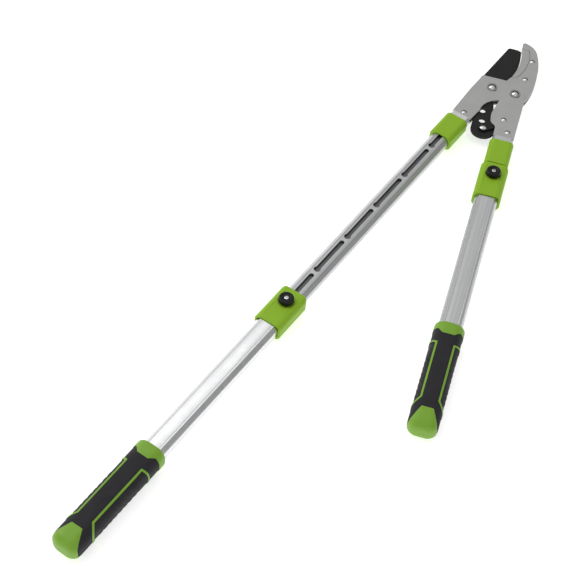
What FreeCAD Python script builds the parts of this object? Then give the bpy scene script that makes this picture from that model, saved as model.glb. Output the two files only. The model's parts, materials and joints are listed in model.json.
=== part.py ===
"""Telescopic compound-action anvil loppers, as an assembly of separate pieces.

Two frames are used. The head frame has its origin on the main pivot, +Y towards the hook tip and +Z up, out
of the front plates. Each handle frame has its origin on the first lock hole, +Y up the handle towards the
head; a station is a length down the handle, along -Y. The last step moves everything so that the origin is
under the middle of the whole object.
"""

import FreeCAD, Part
import Sketcher
import math
import os

V = FreeCAD.Vector
os.makedirs("parts", exist_ok=True)
doc = FreeCAD.newDocument("loppers")

SIZES = {
    # thicknesses of the head's layers
    "blade_thick": 4.0,
    "plate_thick": 2.5,
    "layer_gap": 0.1,
    # pivots, in the head frame; the main pivot is the origin
    "blade_pivot_x": -31.5,
    "blade_pivot_y": 5.0,
    "link_pivot_x": -5.5,
    "link_pivot_y": -52.5,
    "tail_pin_x": -29.0,
    "tail_pin_y": -72.0,
    # pins and rivets
    "pivot_shank": 8.0,
    "pivot_head": 10.0,
    "washer_width": 14.0,
    "washer_thick": 0.8,
    "spacer_width": 15.0,
    "rivet_shank": 4.5,
    "rivet_head": 7.0,
    "pin_shank": 5.0,
    "pin_head": 9.6,
    "running_fit": 0.05,
    "link_width": 13.0,
    "link_play": 1.2,
    "tail_hole": 9.0,
    "lobe_width": 32.0,
    "eye_width": 25.2,
    "bevel_depth": 5.0,
    # handles
    "arm_angle": 19.6,
    "lever_angle": 0.6,
    "anvil_arm_x": -86.0,
    "anvil_arm_y": -130.9,
    "lever_arm_x": -1.1,
    "lever_arm_y": -157.6,
    "hole_pitch": 65.0,
    "slot_width": 6.0,
    "hole_width": 8.4,
    "slot_start": 9.0,
    "inner_width": 24.6,
    "inner_depth": 17.0,
    "tube_overlap": 63.0,
    "outer_width": 28.8,
    "outer_depth": 21.2,
    "tube_in_grip": 136.0,
    "tube_wall": 1.6,
    "tube_bevel": 5.0,
    "tube_fit": 0.3,
    "collar_width": 27.6,
    "collar_depth": 15.6,
    "collar_length": 10.0,
    "tang_clear": 10.6,
    "sleeve_width": 31.6,
    "sleeve_depth": 22.4,
    "sleeve_length": 42.0,
    "sleeve_station": -64.0,
    "spigot_length": 30.0,
    "clamp_width": 36.0,
    "clamp_depth": 25.0,
    "clamp_length": 57.0,
    "clamp_station": -19.5,
    "clamp_shoulder": 5.0,
    "tube_station": 12.0,
    "grip_width": 36.4,
    "grip_depth": 31.0,
    "grip_length": 152.0,
    "grip_back": 76.0,
    "grip_bevel": 13.0,
    "grip_shoulder": 4.0,
    "grip_cap_round": 11.0,
    "grip_skin": 2.6,
    "guide_length": 14.0,
    "guide_rim": 4.0,
    # lock
    "knob_width": 18.0,
    "knob_height": 6.5,
    "lock_drop": 2.4,
    "lock_width": 7.6,
    "screw_head": 5.6,
}
HOLES = 6
FAR = 60.0  # longer than any pocket or prism needs to be

# Lengths that follow from others: the sliding tube spans the travel and still overlaps the outer tube, the
# grip stands a fixed way back from the travel's end, and the tang keeps clear of the sliding tube's walls.
TRAVEL_RULE = f"{HOLES - 1} * sizes.hole_pitch"
INNER_LENGTH = f"({TRAVEL_RULE} - sizes.sleeve_station + sizes.tube_overlap)"
OUTER_LENGTH = f"({TRAVEL_RULE} - sizes.grip_back + sizes.tube_in_grip - sizes.tube_station)"

sheet = doc.addObject("Spreadsheet::Sheet", "sizes")
for row, (alias, value) in enumerate(SIZES.items(), 1):
    sheet.set(f"A{row}", alias)
    sheet.set(f"B{row}", str(value))
    sheet.setAlias(f"B{row}", alias)
doc.recompute()


def size(alias):
    return float(sheet.get(alias))


# Heights of the layers, from the blade outwards, as expressions on the sheet.
PLATE_FLOOR = "(sizes.blade_thick / 2 + sizes.layer_gap)"
PLATE_TOP = f"({PLATE_FLOOR} + sizes.plate_thick)"
LEVER_FLOOR = f"({PLATE_TOP} + sizes.layer_gap)"
LEVER_TOP = f"({LEVER_FLOOR} + sizes.plate_thick)"

plate_floor = size("blade_thick") / 2 + size("layer_gap")
plate_top = plate_floor + size("plate_thick")
lever_floor = plate_top + size("layer_gap")
lever_top = lever_floor + size("plate_thick")

MAIN = (0.0, 0.0)
BLADE_PIVOT = (size("blade_pivot_x"), size("blade_pivot_y"))
LINK_PIVOT = (size("link_pivot_x"), size("link_pivot_y"))
TAIL_PIN = (size("tail_pin_x"), size("tail_pin_y"))
HOOK_RIVETS = [(11.6, 72.5), (8.5, 35.0)]
ANVIL_ARM_RIVET = (-58.2, -53.5)
LEVER_ARM_RIVET = (3.5, -74.0)

ANVIL_ARM = FreeCAD.Placement(
    V(size("anvil_arm_x"), size("anvil_arm_y"), 0), FreeCAD.Rotation(V(0, 0, 1), -size("arm_angle"))
)
LEVER_ARM = FreeCAD.Placement(
    V(size("lever_arm_x"), size("lever_arm_y"), 0), FreeCAD.Rotation(V(0, 0, 1), -size("lever_angle"))
)
TRAVEL = size("hole_pitch") * (HOLES - 1)
GRIP_STATION = TRAVEL - size("grip_back")
TANG_HALF = (size("inner_width") - size("tang_clear")) / 2
COLLAR_TOP = size("sleeve_station") - size("collar_length")
TANG_END = size("sleeve_station") + size("spigot_length") - 6.0

nodes = {}


def keep(node, name, placement=None):
    """Registers a finished sub-part, named, and put where it belongs in the head frame."""
    node.Label = name
    if placement is not None:
        node.Placement = placement
    nodes[name] = node
    return node


def on_arm(arm, across, station):
    """A head-frame point from its place on a handle."""
    p = arm.multVec(V(across, -station, 0))
    return (p.x, p.y)


def around(centre, width, degrees):
    a = math.radians(degrees)
    return (centre[0] + width / 2 * math.cos(a), centre[1] + width / 2 * math.sin(a))


# ---------------------------------------------------------------- sketches


def plane_sketch(body, name, role="XY_Plane", lift=None):
    """A sketch on one of the body's own planes, lifted along the plane's normal by a sheet expression."""
    sketch = body.newObject("Sketcher::SketchObject", name)
    plane = next(o for o in body.Origin.OriginFeatures if o.Role == role)
    sketch.AttachmentSupport = [(plane, "")]
    sketch.MapMode = "FlatFace"
    if lift is not None:
        sketch.setExpression(".AttachmentOffset.Base.z", lift)
    return sketch


def flat(point):
    return V(point[0], point[1], 0)


def draw(sketch, path):
    """Draws a closed outline: (x, y) is a straight run to there, (through, end) an arc through one point."""
    start = path[0]
    here = start
    for step in path[1:] + [start]:
        if isinstance(step[0], tuple):
            through, there = step
            sketch.addGeometry(Part.Arc(flat(here), flat(through), flat(there)), False)
        else:
            there = step
            if V(*here).distanceToPoint(V(*there)) > 1e-6:
                sketch.addGeometry(Part.LineSegment(flat(here), flat(there)), False)
        here = there


def draw_hole(sketch, centre, diameter):
    """A circle whose diameter follows the sheet."""
    ring = sketch.addGeometry(Part.Circle(flat(centre), V(0, 0, 1), 2.0), False)
    rule = sketch.addConstraint(Sketcher.Constraint("Diameter", ring, 4.0))
    sketch.setExpression(f"Constraints[{rule}]", diameter)


def draw_round_box(sketch, width, depth, corner):
    """A rectangle with round corners, centred on the sketch's origin; width and depth follow the sheet."""
    r = corner
    w, d = r + 6.0, r + 4.0
    sides = [
        ((w, -d + r), (w, d - r), (w - r, d - r), 0),
        ((w - r, d), (-w + r, d), (-w + r, d - r), 1),
        ((-w, d - r), (-w, -d + r), (-w + r, -d + r), 2),
        ((-w + r, -d), (w - r, -d), (w - r, -d + r), 3),
    ]
    first = sketch.GeometryCount
    for start, end, centre, turn in sides:
        sketch.addGeometry(Part.LineSegment(flat(start), flat(end)), False)
        circle = Part.Circle(flat(centre), V(0, 0, 1), r)
        a = math.pi / 2 * turn
        sketch.addGeometry(Part.ArcOfCircle(circle, a, a + math.pi / 2), False)
    right, top, left, bottom = first, first + 2, first + 4, first + 6
    for i in range(8):
        sketch.addConstraint(Sketcher.Constraint("Tangent", first + i, 2, first + (i + 1) % 8, 1))
    for i in (3, 5, 7):
        sketch.addConstraint(Sketcher.Constraint("Equal", first + 1, first + i))
    sketch.addConstraint(Sketcher.Constraint("Vertical", right))
    sketch.addConstraint(Sketcher.Constraint("Horizontal", top))
    sketch.addConstraint(Sketcher.Constraint("Vertical", left))
    sketch.addConstraint(Sketcher.Constraint("Horizontal", bottom))
    sketch.addConstraint(Sketcher.Constraint("Symmetric", first + 1, 3, first + 5, 3, -1, 1))
    sketch.addConstraint(Sketcher.Constraint("Radius", first + 1, r))
    wide = sketch.addConstraint(Sketcher.Constraint("DistanceX", left, 1, right, 1, 2 * w))
    deep = sketch.addConstraint(Sketcher.Constraint("DistanceY", bottom, 1, top, 1, 2 * d))
    sketch.setExpression(f"Constraints[{wide}]", width)
    sketch.setExpression(f"Constraints[{deep}]", depth)


def octagon(width, depth, bevel):
    w, d, b = width / 2, depth / 2, bevel
    upper = [(w, d - b), (w - b, d), (b - w, d), (-w, d - b)]
    return upper + [(-x, -y) for x, y in upper]


def inner_outline(grow=0.0):
    g = 2 * grow
    return octagon(size("inner_width") + g, size("inner_depth") + g, size("tube_bevel") + 0.59 * grow)


def outer_outline(grow=0.0):
    g = 2 * grow
    return octagon(size("outer_width") + g, size("outer_depth") + g, size("tube_bevel") + 0.59 * grow)


# ---------------------------------------------------------------- solids


def pad(body, sketch, length):
    feature = body.newObject("PartDesign::Pad", sketch.Name + "_pad")
    feature.Profile = sketch
    feature.setExpression("Length", length)
    sketch.Visibility = False
    return feature


def pocket(body, sketch, length, reverse=False):
    feature = body.newObject("PartDesign::Pocket", sketch.Name + "_pocket")
    feature.Profile = sketch
    feature.Reversed = reverse
    feature.setExpression("Length", length)
    return feature


def slab(name, path, floor, thick, holes=()):
    """A flat piece in the head frame: an outline with round holes, given a floor height and a thickness."""
    body = doc.addObject("PartDesign::Body", name)
    sketch = plane_sketch(body, name + "_outline", lift=floor)
    draw(sketch, path)
    for centre, diameter in holes:
        draw_hole(sketch, centre, diameter)
    pad(body, sketch, thick)
    return keep(body, name)


def turned(name, profile, places, placement=None):
    """A piece turned about a line along Z, from a half outline of (radius, height), at each place."""
    sketch = doc.addObject("Sketcher::SketchObject", name + "_profile")
    sketch.Placement = FreeCAD.Placement(V(0, 0, 0), FreeCAD.Rotation(V(1, 0, 0), 90))
    draw(sketch, profile)
    copies = []
    for x, y in places:
        solid = doc.addObject("Part::Revolution", name + "_turned")
        solid.Source = sketch
        solid.Axis = V(0, 0, 1)
        solid.Angle = 360
        solid.Solid = True
        solid.Placement = FreeCAD.Placement(V(x, y, 0), FreeCAD.Rotation())
        copies.append(solid)
    if len(copies) == 1 and placement is None:
        return keep(copies[0], name)
    group = doc.addObject("Part::Compound", name + "_set")
    group.Links = copies
    return keep(group, name, placement)


def dome(radius, crown):
    """The point half way up a spherical cap's outline, as its distance out and its height."""
    ball = (radius**2 + crown**2) / (2 * crown)
    half_angle = math.asin(radius / ball) / 2
    return ball * math.sin(half_angle), crown - ball * (1 - math.cos(half_angle))


def rivet(shank, head, half, crown):
    """A half outline of a rivet with a low domed head at both ends, each seated at the height `half`."""
    r, s = head / 2, shank / 2
    across, up = dome(r, crown)
    top = [(r, half), ((across, half + up), (0.0, half + crown))]
    bottom = [(0.0, -half - crown), ((across, -half - up), (r, -half))]
    return [(s, half)] + top + bottom + [(s, -half)]


def ring(outer, inner, low, high):
    return [(inner / 2, low), (outer / 2, low), (outer / 2, high), (inner / 2, high)]


# ---------------------------------------------------------------- head: the anvil arm

HOOK_LINE = [((4.2, 51.0), (6.8, 67.0)), ((6.8, 81.0), (3.6, 93.0))]
ANVIL_FOOT = [(-10.8, 32.6), (-2.8, 35.5)]
ANVIL_HEAD = (-6.0, 93.0)


def anvil_plate_path():
    shoulder = on_arm(ANVIL_ARM, 13.6, COLLAR_TOP)
    heel = on_arm(ANVIL_ARM, -13.6, COLLAR_TOP)
    path = [ANVIL_FOOT[0], ANVIL_FOOT[1]] + HOOK_LINE + [ANVIL_HEAD]
    path += [(-6.8, 102.0), ((-5.6, 105.0), (-2.0, 105.4))]
    path += [((8.8, 99.5), (16.2, 87.0)), ((20.8, 68.0), (22.4, 46.0)), ((21.6, 20.0), (16.0, -5.0))]
    path += [((1.0, -16.5), (-15.5, -15.5)), ((-31.3, -24.0), (-39.5, -43.0))]
    path += [shoulder, heel, (-59.6, -9.0), (-49.6, 19.0), ((-48.4, 22.6), (-45.0, 24.0)), (-15.2, 24.0)]
    return path


def anvil_plates():
    holes = [(MAIN, "sizes.pivot_shank"), (BLADE_PIVOT, "sizes.pivot_shank")]
    holes += [(p, "sizes.rivet_shank") for p in HOOK_RIVETS + [ANVIL_ARM_RIVET]]
    path = anvil_plate_path()
    slab("anvil_plate_front", path, PLATE_FLOOR, "sizes.plate_thick", holes)
    slab("anvil_plate_back", path, f"-{PLATE_TOP}", "sizes.plate_thick", holes)


def anvil():
    """The crescent that the blade closes on, with a tongue between the plates for the two hook rivets."""
    body = doc.addObject("PartDesign::Body", "anvil_insert")
    face = plane_sketch(body, "anvil_face", lift=f"-{PLATE_TOP}")
    draw(face, [ANVIL_FOOT[0], ANVIL_FOOT[1]] + HOOK_LINE + [ANVIL_HEAD, ((-4.2, 66.0), ANVIL_FOOT[0])])
    pad(body, face, f"2 * {PLATE_TOP}")
    tongue = plane_sketch(body, "anvil_tongue", lift=f"-{PLATE_FLOOR}")
    edge = [(3.0, 27.5), (13.5, 27.5), (18.0, 48.0), (17.5, 62.0), (14.0, 80.0), (6.0, 92.0)]
    draw(tongue, [(-3.6, 36.5)] + edge + [(1.4, 92.4), ((0.0, 66.0), (-3.6, 36.5))])
    for centre in HOOK_RIVETS:
        draw_hole(tongue, centre, "sizes.rivet_shank")
    pad(body, tongue, f"2 * {PLATE_FLOOR}")
    keep(body, "anvil_insert")


def anvil_arm_core():
    """The black spacer between the anvil arm's plates; its tail runs through the collar into the tube."""
    side, top, foot = TANG_HALF, COLLAR_TOP, TANG_END
    path = [(-57.8, -14.0), (-49.5, -14.0), (-48.6, -30.0), (-48.6, -58.0), on_arm(ANVIL_ARM, 12.2, top)]
    path += [on_arm(ANVIL_ARM, side, top), on_arm(ANVIL_ARM, side, foot), on_arm(ANVIL_ARM, -side, foot)]
    path += [on_arm(ANVIL_ARM, -side, top), on_arm(ANVIL_ARM, -12.2, top)]
    bores = [(ANVIL_ARM_RIVET, "sizes.rivet_shank")]
    slab("anvil_arm_core", path, f"-{PLATE_FLOOR}", f"2 * {PLATE_FLOOR}", bores)


def head_fasteners():
    shank, head, disc = size("pivot_shank"), size("pivot_head"), size("washer_thick")
    lift = size("layer_gap")
    crown = 2.4
    blade_seat = plate_top + disc
    main_seat = lever_top + lift + disc
    turned("blade_pivot", rivet(shank, head, blade_seat, crown), [BLADE_PIVOT])
    turned("main_pivot", rivet(shank, head, main_seat, crown), [MAIN])
    wide = size("washer_width")
    turned("blade_washer_front", ring(wide, shank, plate_top, blade_seat), [BLADE_PIVOT])
    turned("blade_washer_back", ring(wide, shank, -blade_seat, -plate_top), [BLADE_PIVOT])
    turned("main_washer_front", ring(wide, shank, main_seat - disc, main_seat), [MAIN])
    turned("main_washer_back", ring(wide, shank, -main_seat, disc - main_seat), [MAIN])
    turned("main_spacer", ring(size("spacer_width"), shank, -plate_floor, plate_floor), [MAIN])
    small = rivet(size("rivet_shank"), size("rivet_head"), plate_top, 1.6)
    turned("anvil_arm_rivets", small, HOOK_RIVETS + [ANVIL_ARM_RIVET])


# ---------------------------------------------------------------- head: the lever arm


def lever_plates():
    eye = size("eye_width") / 2
    path = [(eye, 0.0), ((0.0, eye), (-eye, 0.0)), (-15.5, -11.0), (-18.6, -22.0), (-21.8, -38.0)]
    path += [((-23.4, -47.0), (-22.6, -55.0)), ((-20.2, -62.4), (-15.6, -66.0)), (-14.2, -69.0)]
    path += [on_arm(LEVER_ARM, -13.7, COLLAR_TOP), on_arm(LEVER_ARM, 13.7, COLLAR_TOP), (14.4, -11.0)]
    free = "sizes.pivot_shank + 2 * sizes.running_fit"
    holes = [(MAIN, free), (LINK_PIVOT, "sizes.rivet_shank"), (LEVER_ARM_RIVET, "sizes.rivet_shank")]
    slab("lever_plate_front", path, LEVER_FLOOR, "sizes.plate_thick", holes)
    slab("lever_plate_back", path, f"-{LEVER_TOP}", "sizes.plate_thick", holes)


def lever_arm_core():
    side, top, foot = TANG_HALF, COLLAR_TOP, TANG_END
    path = [(-9.0, -67.0), (11.0, -67.0), on_arm(LEVER_ARM, 12.0, top), on_arm(LEVER_ARM, side, top)]
    path += [on_arm(LEVER_ARM, side, foot), on_arm(LEVER_ARM, -side, foot), on_arm(LEVER_ARM, -side, top)]
    bores = [(LEVER_ARM_RIVET, "sizes.rivet_shank")]
    slab("lever_arm_core", path, f"-{LEVER_FLOOR}", f"2 * {LEVER_FLOOR}", bores)


def lever_fasteners():
    small = rivet(size("rivet_shank"), size("rivet_head"), lever_top, 1.6)
    turned("link_pivot_pin", small, [LINK_PIVOT])
    turned("lever_arm_rivet", small, [LEVER_ARM_RIVET])


# ---------------------------------------------------------------- head: the blade and the links


def blade():
    """The blade, with a tail that hangs between the arms and two through holes in it."""
    lobe = size("lobe_width")
    body = doc.addObject("PartDesign::Body", "blade")
    outline = plane_sketch(body, "blade_outline", lift="-sizes.blade_thick / 2")
    path = [(-6.5, 91.0), ((-4.7, 66.0), (-11.3, 32.0)), (-16.5, 21.0), (-17.5, -6.0), (-24.6, -19.0)]
    path += [(-23.2, -27.0), ((-21.2, -38.0), (-19.2, -50.0)), around(TAIL_PIN, lobe, 42)]
    path += [(around(TAIL_PIN, lobe, -90), around(TAIL_PIN, lobe, 180)), (-45.0, -12.0), (-47.0, 4.0)]
    path += [(-47.0, 26.0), (-25.2, 87.6), ((-23.6, 90.4), (-20.6, 91.4))]
    draw(outline, path)
    draw_hole(outline, BLADE_PIVOT, "sizes.pivot_shank + 2 * sizes.running_fit")
    draw_hole(outline, TAIL_PIN, "sizes.pin_shank")
    for centre in [(-35.7, -39.3), (-32.8, -57.6)]:
        draw_hole(outline, centre, "sizes.tail_hole")
    base = pad(body, outline, "sizes.blade_thick")
    doc.recompute()
    cutting = [f"Edge{i}" for i, e in enumerate(base.Shape.Edges, 1) if is_cutting_edge(e)]
    ground = body.newObject("PartDesign::Chamfer", "blade_bevel")
    ground.Base = (base, cutting)
    ground.ChamferType = "Two distances"
    ground.setExpression("Size", "sizes.bevel_depth")
    ground.Size2 = 1.6
    ground.FlipDirection = True
    keep(body, "blade")


def is_cutting_edge(edge):
    """True for the long arcs along the blade's anvil side, on either face."""
    box = edge.BoundBox
    return box.XMin > -12 and box.YMin > 31 and box.YLength > 50 and box.ZLength < 0.01


def links():
    """Two flat links, one on each face of the tail, from the link pivot to the tail pin."""
    wide = size("link_width")
    aim = math.degrees(math.atan2(TAIL_PIN[1] - LINK_PIVOT[1], TAIL_PIN[0] - LINK_PIVOT[0]))
    start = around(LINK_PIVOT, wide, aim + 90)
    path = [start, (around(LINK_PIVOT, wide, aim + 180), around(LINK_PIVOT, wide, aim - 90))]
    path.append(around(TAIL_PIN, wide, aim - 90))
    path.append((around(TAIL_PIN, wide, aim), around(TAIL_PIN, wide, aim + 90)))
    holes = [(LINK_PIVOT, "sizes.rivet_shank + 2 * sizes.running_fit")]
    holes += [(TAIL_PIN, "sizes.pin_shank + 2 * sizes.link_play")]
    thick = "sizes.plate_thick - sizes.layer_gap"
    slab("link_front", path, PLATE_FLOOR, thick, holes)
    slab("link_back", path, f"sizes.layer_gap - {PLATE_TOP}", thick, holes)
    turned("tail_pin", rivet(size("pin_shank"), size("pin_head"), plate_top, 1.5), [TAIL_PIN])


# ---------------------------------------------------------------- handles


def handle_bar(name, start, length, outline, hollow):
    """A straight extrusion down a handle frame, from one station."""
    body = doc.addObject("PartDesign::Body", name)
    section = plane_sketch(body, name + "_section", "XZ_Plane", start)
    outline(section)
    hollow(section)
    pad(body, section, length)
    return body


def collar(name, core_thick):
    """The light metal block between the plates and the sleeve, with a spigot inside the tube."""
    start = "sizes.sleeve_station - sizes.collar_length"
    gap = size("layer_gap")
    x, y = TANG_HALF + gap, core_thick / 2
    slot = [(x, y), (-x, y), (-x, -y), (x, -y)]
    body = doc.addObject("PartDesign::Body", name)
    block = plane_sketch(body, name + "_block", "XZ_Plane", start)
    draw(block, octagon(size("collar_width"), size("collar_depth"), 3.2))
    draw(block, slot)
    pad(body, block, "sizes.collar_length")
    spigot = plane_sketch(body, name + "_spigot", "XZ_Plane", "sizes.sleeve_station")
    draw(spigot, inner_outline(-size("tube_wall")))
    draw(spigot, slot)
    pad(body, spigot, "sizes.spigot_length")
    return body


def inner_tube(name):
    """The sliding tube: a row of long slots in its top wall, each ending in a round lock hole."""
    body = handle_bar(
        name,
        "sizes.sleeve_station",
        INNER_LENGTH,
        lambda s: draw(s, inner_outline()),
        lambda s: draw(s, inner_outline(-size("tube_wall"))),
    )
    cut = plane_sketch(body, name + "_slots", lift="sizes.inner_depth")
    half, bulb = size("slot_width") / 2, size("hole_width") / 2
    rise = math.sqrt(bulb**2 - half**2)
    for i in range(HOLES):
        hole = -size("hole_pitch") * i
        top = hole + size("hole_pitch") - size("slot_start")
        if i == 0:
            top = -size("sleeve_station") - 8.0
        path = [(half, hole + rise), (half, top - half), ((0.0, top), (-half, top - half))]
        draw(cut, path + [(-half, hole + rise), ((0.0, hole - bulb), (half, hole + rise))])
    pocket(body, cut, "sizes.inner_depth")
    return body


def head_sleeve(name):
    return handle_bar(
        name,
        "sizes.sleeve_station",
        "sizes.sleeve_length",
        lambda s: draw_round_box(s, "sizes.sleeve_width", "sizes.sleeve_depth", 7.0),
        lambda s: draw(s, inner_outline()),
    )


def tube_guide(name):
    """The black plug in the end of the sliding tube, which rides inside the outer tube."""
    end = f"sizes.sleeve_station + {INNER_LENGTH}"
    body = doc.addObject("PartDesign::Body", name)
    plug = plane_sketch(body, name + "_plug", "XZ_Plane", f"{end} - sizes.guide_length")
    draw(plug, inner_outline(-size("tube_wall")))
    pad(body, plug, "sizes.guide_length")
    rim = plane_sketch(body, name + "_rim", "XZ_Plane", end)
    draw(rim, outer_outline(-size("tube_wall") - size("tube_fit")))
    pad(body, rim, "sizes.guide_rim")
    return body


def outer_tube(name):
    return handle_bar(
        name,
        "sizes.tube_station",
        OUTER_LENGTH,
        lambda s: draw(s, outer_outline()),
        lambda s: draw(s, outer_outline(-size("tube_wall"))),
    )


def clamp(name):
    """The green clamp: bored for the sliding tube above and the outer tube below, with a knob well."""
    body = handle_bar(
        name,
        "sizes.clamp_station",
        "sizes.clamp_length",
        lambda s: draw_round_box(s, "sizes.clamp_width", "sizes.clamp_depth", 8.0),
        lambda s: draw(s, inner_outline(size("tube_fit"))),
    )
    seat = plane_sketch(body, name + "_seat", "XZ_Plane", "sizes.tube_station")
    draw(seat, outer_outline())
    pocket(body, seat, str(FAR), reverse=True)
    well = plane_sketch(body, name + "_well", lift="sizes.clamp_depth / 2")
    draw_hole(well, (0, 0), "sizes.knob_width + 0.8")
    pocket(body, well, "sizes.lock_drop")
    bore = plane_sketch(body, name + "_bore", lift="sizes.clamp_depth / 2")
    draw_hole(bore, (0, 0), "sizes.lock_width + 0.6")
    pocket(body, bore, "sizes.clamp_depth / 2")
    corners = plane_sketch(body, name + "_corners", lift="sizes.clamp_depth / 2")
    for way in (-1, 1):
        draw(corners, shoulder_cut(way))
    pocket(body, corners, "sizes.clamp_depth")
    return body


def shoulder_cut(way):
    """What is cut off one upper corner of the clamp to leave it round, seen from above."""
    side, top, r = way * size("clamp_width") / 2, -size("clamp_station"), size("clamp_shoulder")
    run = way * r
    inset = 1 - math.sqrt(0.5)
    curve = ((side - run * inset, top - r * inset), (side - run, top))
    return [(side + run, top - r), (side, top - r), curve, (side - run, top + r), (side + run, top + r)]


def grip(side, placement):
    """The grip: a green core with a collar, a cap and raised lines, and a black cover that fills the rest."""
    start = GRIP_STATION
    bevel, inside = size("grip_bevel"), size("grip_bevel") - 3
    form = prism(f"grip_form_{side}", "sizes.grip_width", "sizes.grip_depth", bevel, start, "sizes.grip_length")
    doc.recompute()
    soft = doc.addObject("Part::Fillet", f"grip_soft_{side}")
    soft.Base = form
    upper_end = end_edges(form.Shape, start, size("grip_shoulder"))
    soft.Edges = upper_end + end_edges(form.Shape, start + size("grip_length"), size("grip_cap_round"))
    skin = "2 * sizes.grip_skin"
    belly = prism(
        f"grip_belly_{side}",
        f"sizes.grip_width - {skin}",
        f"sizes.grip_depth - {skin}",
        inside,
        start + 5,
        "sizes.grip_length - 12",
    )
    window = doc.addObject("Part::Extrusion", f"grip_window_{side}")
    window.Base = cover_sketch(side, start)
    window.Dir = V(0, 0, 1)
    window.LengthFwd = FAR
    window.LengthRev = FAR
    window.Solid = True
    filled = boolean("Part::Common", f"grip_filled_{side}", soft, window)
    cover = boolean("Part::Cut", f"grip_cover_{side}", filled, belly)
    bored = doc.addObject("Part::Extrusion", f"grip_bore_{side}")
    section = doc.addObject("Sketcher::SketchObject", f"grip_bore_section_{side}")
    section.Placement = station_plane(start)
    draw(section, outer_outline())
    bored.Base = section
    bored.Dir = V(0, -1, 0)
    bored.setExpression("LengthFwd", "sizes.grip_length - 8")
    bored.Solid = True
    rest = boolean("Part::Cut", f"grip_rest_{side}", soft, cover)
    core = boolean("Part::Cut", f"grip_core_{side}", rest, bored)
    keep(core, f"grip_core_{side}", placement)
    shown = doc.addObject("Part::Compound", f"grip_cover_placed_{side}")
    shown.Links = [cover]
    keep(shown, f"grip_cover_{side}", placement)


def station_plane(station):
    """A sketch plane square to the handle, with the sketch's x across and its y up."""
    return FreeCAD.Placement(V(0, -station, 0), FreeCAD.Rotation(V(1, 0, 0), 90))


def prism(name, width, depth, corner, station, length):
    section = doc.addObject("Sketcher::SketchObject", name + "_section")
    section.Placement = station_plane(station)
    draw_round_box(section, width, depth, corner)
    solid = doc.addObject("Part::Extrusion", name)
    solid.Base = section
    solid.Dir = V(0, -1, 0)
    solid.setExpression("LengthFwd", length)
    solid.Solid = True
    return solid


def boolean(kind, name, base, tool):
    result = doc.addObject(kind, name)
    result.Base = base
    result.Tool = tool
    return result


def end_edges(shape, station, radius):
    """The edges of a prism's end face, each with one fillet radius."""
    found = []
    for i, e in enumerate(shape.Edges, 1):
        box = e.BoundBox
        if box.YLength < 1e-6 and abs(box.YMin + station) < 1e-3:
            found.append((i, radius, radius))
    return found


def cover_sketch(side, start):
    """The black part of the grip in plan, with an inlaid line down each side of the centre panel."""
    sketch = doc.addObject("Sketcher::SketchObject", f"grip_plan_{side}")
    end = size("grip_length")
    edge = [(-FAR, 12.4), (-12.5, 12.4), (-7.6, 18.6), (7.6, 18.6), (12.5, 12.4), (FAR, 12.4)]
    edge += [(FAR, end - 9.0), (17.6, end - 9.0), (13.0, end - 13.0), (7.0, end - 26.0)]
    edge += [(-7.0, end - 26.0), (-13.0, end - 13.0), (-17.6, end - 9.0), (-FAR, end - 9.0)]
    draw(sketch, [(x, -start - s) for x, s in edge])
    wide = 1.9
    for way in (-1, 1):
        line = line_band(end, wide)
        draw(sketch, [(way * x, -start - s) for x, s in line])
    return sketch


def line_band(end, wide):
    """One inlaid line: out at the top, straight down the side of the panel, and out again at the bottom."""
    x, far = 9.6, 17.6
    top, bottom = 33.0, end - 38.5
    turned_out, run_out = top - 3.4, bottom + 10.5
    outer = [(far, turned_out), (x, top - 0.6), (x, bottom), (far, run_out)]
    inner = [(far, run_out - 2.6), (x + wide, bottom - 0.9), (x + wide, top + 0.9), (far, turned_out + 2.1)]
    return outer + inner


def knob_parts(side, placement):
    """The knob with its lock pin and screw, standing just clear of the sliding tube."""
    floor = size("clamp_depth") / 2 + 0.3
    height, wide = size("knob_height"), size("knob_width")
    pin, screw = size("lock_width"), size("screw_head")
    top = floor + height
    nose = size("inner_depth") / 2 + 0.35
    step = top - 2.6
    side_low, side_high = (wide / 2, floor + 2.2), (wide / 2, top - 1.2)
    grip_edge = [(wide / 2 - 1.2, floor), side_low, side_high, (wide / 2 - 1.0, top)]
    dish = [(wide / 2 - 2.6, top), (wide / 2 - 3.6, top - 0.7), (screw / 2 + 0.2, top - 0.7)]
    seat = [(screw / 2 + 0.2, top - 1.4), (1.5, top - 1.4), (1.5, step), (pin / 2, step), (pin / 2, floor)]
    turned(f"lock_knob_{side}", grip_edge + dish + seat, [(0, 0)], placement)
    tip = [(0, nose), (pin / 2 - 0.6, nose), (pin / 2, nose + 0.6)]
    neck = [(pin / 2, step), (1.5, step), (1.5, step - 4), (0, step - 4)]
    turned(f"lock_pin_{side}", tip + neck, [(0, 0)], placement)
    s = screw / 2
    across, up = dome(s, 0.8)
    crown = [((across, top - 0.6 + up), (0.0, top + 0.2))]
    cup = [(s, top - 1.4), (s, top - 0.6)] + crown + [(0.0, step - 4), (1.5, step - 4)]
    turned(f"knob_screw_{side}", [(1.5, top - 1.4)] + cup, [(0, 0)], placement)


def handle(side, arm, core_thick, slid):
    """All of one handle; `slid` is how far down the sliding tube the outer part stands."""
    keep(collar(f"collar_{side}", core_thick), f"collar_{side}", arm)
    keep(inner_tube(f"inner_tube_{side}"), f"inner_tube_{side}", arm)
    keep(head_sleeve(f"head_sleeve_{side}"), f"head_sleeve_{side}", arm)
    keep(tube_guide(f"tube_guide_{side}"), f"tube_guide_{side}", arm)
    down = arm.multiply(FreeCAD.Placement(V(0, -slid, 0), FreeCAD.Rotation()))
    keep(outer_tube(f"outer_tube_{side}"), f"outer_tube_{side}", down)
    keep(clamp(f"clamp_{side}"), f"clamp_{side}", down)
    grip(side, down)
    knob_parts(side, down)


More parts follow.
